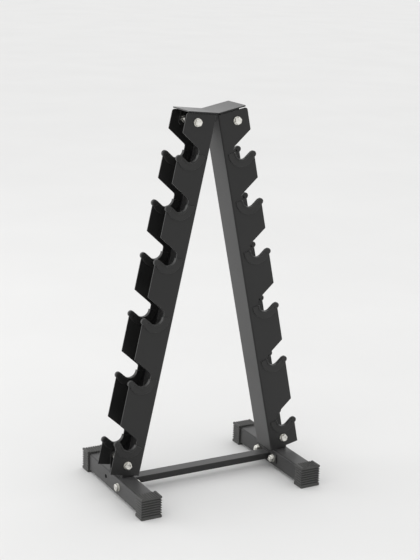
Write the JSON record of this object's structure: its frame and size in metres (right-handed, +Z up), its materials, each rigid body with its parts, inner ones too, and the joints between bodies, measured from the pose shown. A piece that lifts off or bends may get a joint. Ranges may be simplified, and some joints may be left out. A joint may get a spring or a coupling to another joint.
{
  "type": "dumbbell rack",
  "caption": "Free-standing A-shaped dumbbell rack: two notched steel channels with guarded hooks, tied at the top and at square-tube feet with ribbed caps.",
  "frame": {"origin": "on the floor, midway between the two feet and midway between their front and back ends", "axes": "+Z up, +X to the right seen from the front, -Y towards the front"},
  "size_m": [0.5494, 0.36, 0.9781],
  "materials": {
    "powder_coat": "satin black powder coat with a fine texture",
    "guard_rubber": "matte moulded black",
    "cap_rubber": "matte black, ribbed",
    "zinc": "bright zinc plate"
  },
  "bodies": {
    "root": {"upright_left": "powder_coat", "foot_tube_left": "powder_coat", "foot_bracket_left": "powder_coat", "crossbar_end_plate_left": "powder_coat", "upright_right": "powder_coat", "foot_tube_right": "powder_coat", "foot_bracket_right": "powder_coat", "crossbar_end_plate_right": "powder_coat", "top_bracket": "powder_coat", "crossbar_tube": "powder_coat", "foot_cap_front_left": "cap_rubber", "foot_cap_front_right": "cap_rubber", "foot_cap_back_left": "cap_rubber", "foot_cap_back_right": "cap_rubber", "saddle_guard_left_front_1": "guard_rubber", "saddle_guard_left_front_2": "guard_rubber", "saddle_guard_left_front_3": "guard_rubber", "saddle_guard_left_front_4": "guard_rubber", "saddle_guard_left_front_5": "guard_rubber", "saddle_guard_left_front_6": "guard_rubber", "saddle_guard_left_back_1": "guard_rubber", "saddle_guard_left_back_2": "guard_rubber", "saddle_guard_left_back_3": "guard_rubber", "saddle_guard_left_back_4": "guard_rubber", "saddle_guard_left_back_5": "guard_rubber", "saddle_guard_left_back_6": "guard_rubber", "saddle_guard_right_front_1": "guard_rubber", "saddle_guard_right_front_2": "guard_rubber", "saddle_guard_right_front_3": "guard_rubber", "saddle_guard_right_front_4": "guard_rubber", "saddle_guard_right_front_5": "guard_rubber", "saddle_guard_right_front_6": "guard_rubber", "saddle_guard_right_back_1": "guard_rubber", "saddle_guard_right_back_2": "guard_rubber", "saddle_guard_right_back_3": "guard_rubber", "saddle_guard_right_back_4": "guard_rubber", "saddle_guard_right_back_5": "guard_rubber", "saddle_guard_right_back_6": "guard_rubber", "top_bolts": "zinc", "top_washers": "zinc", "top_nuts": "zinc", "lower_bolts": "zinc", "lower_washers": "zinc", "lower_nuts": "zinc", "crossbar_bolts": "zinc", "crossbar_washers": "zinc", "crossbar_nuts": "zinc"}
  },
  "joints": []
}
